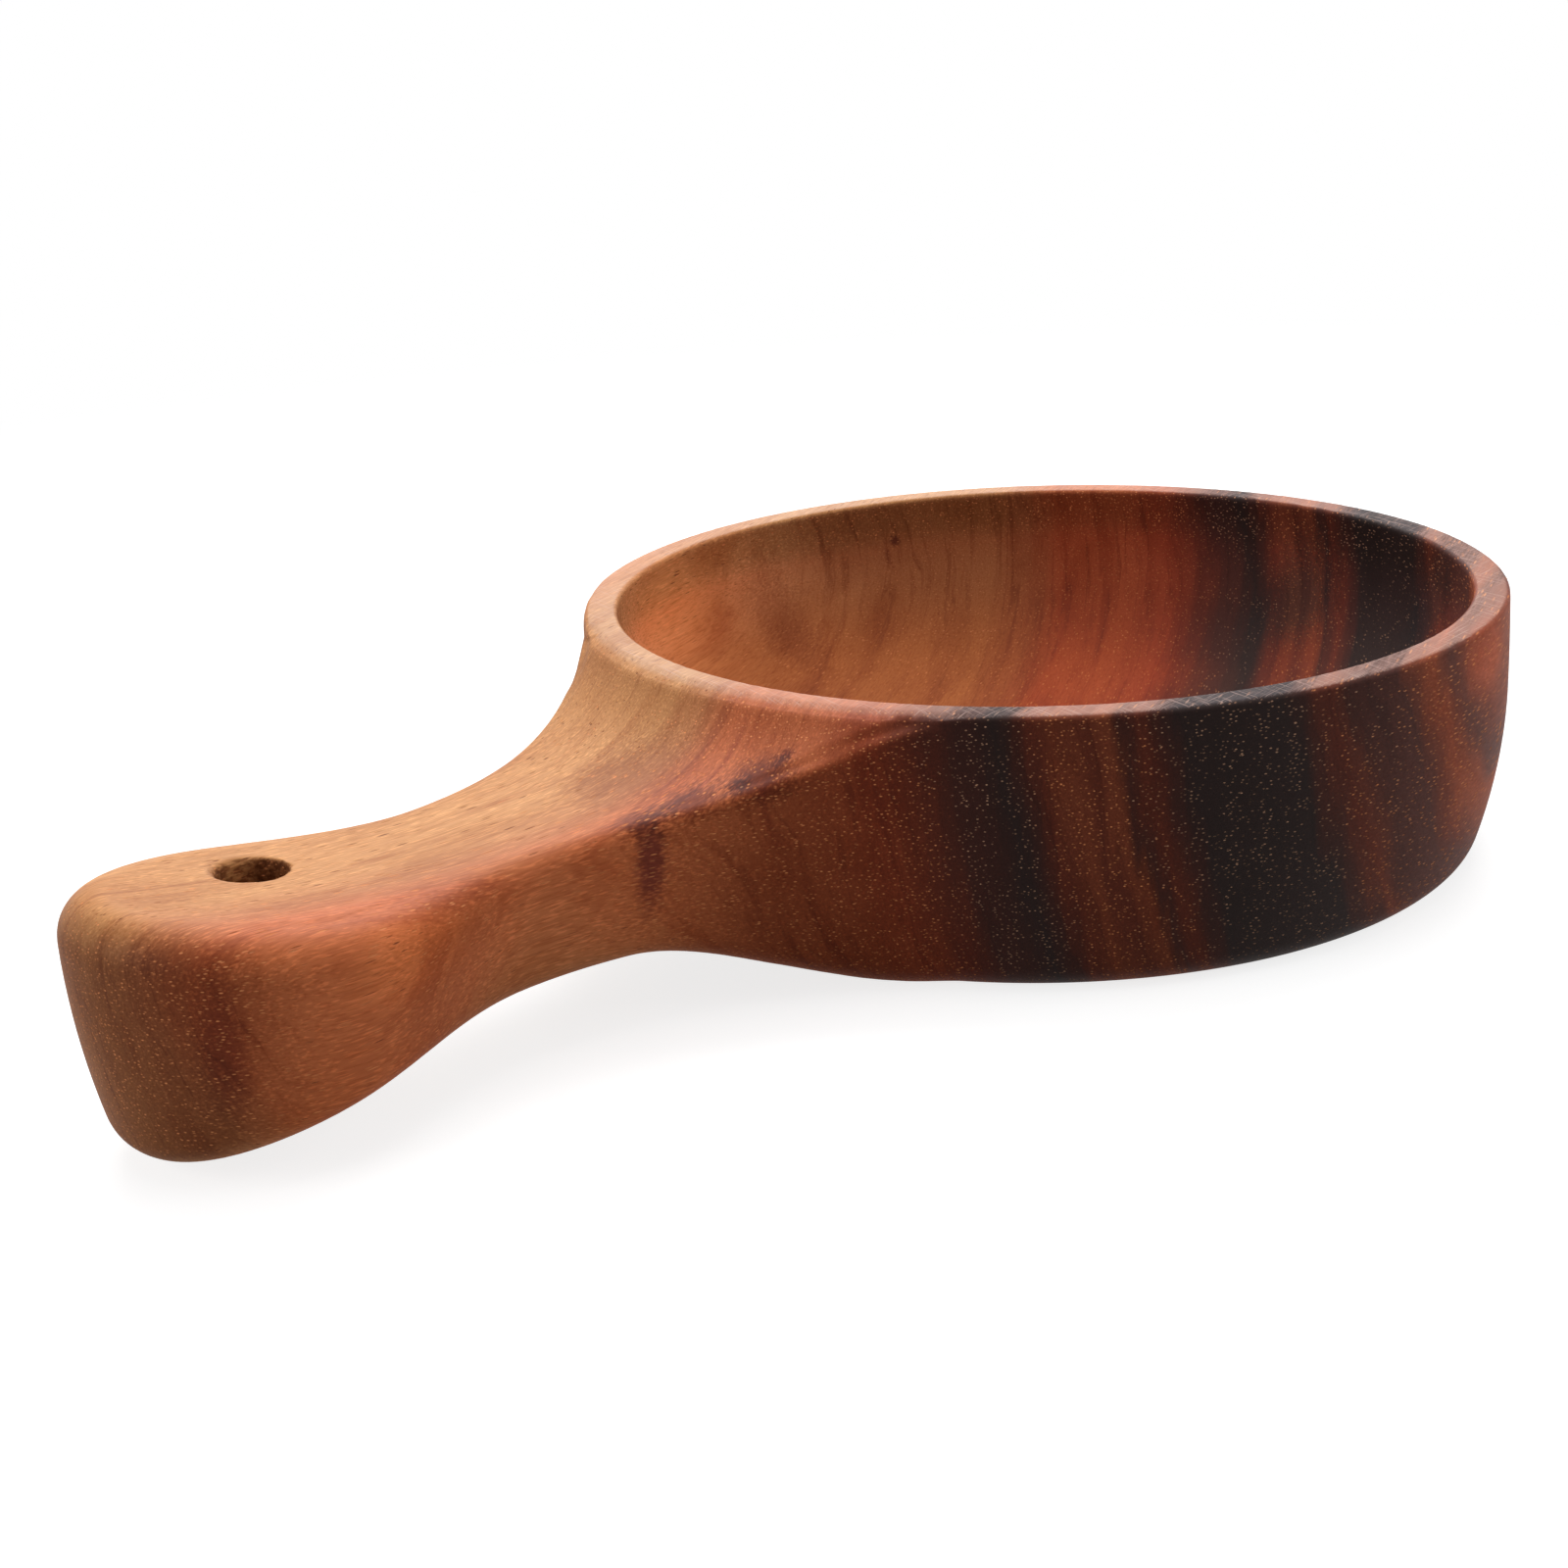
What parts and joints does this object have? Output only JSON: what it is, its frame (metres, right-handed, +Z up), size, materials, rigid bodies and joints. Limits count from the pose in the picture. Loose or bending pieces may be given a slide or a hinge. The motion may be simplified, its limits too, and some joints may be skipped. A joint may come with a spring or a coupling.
{
  "type": "handled wooden bowl",
  "caption": "Round turned wooden bowl carved in one piece with a scooped neck and a paddle handle that has a hang hole near its end.",
  "frame": {"origin": "middle of the bowl's flat base, on the bowl's axis, at table level", "axes": "+Z up along the bowl's axis, -X along the handle to its end, Y across the handle"},
  "size_m": [0.2504, 0.1504, 0.043],
  "materials": {
    "oiled_wood": "satin oiled hardwood with dark heartwood bands"
  },
  "bodies": {
    "root": {"bowl": "oiled_wood"}
  },
  "joints": []
}
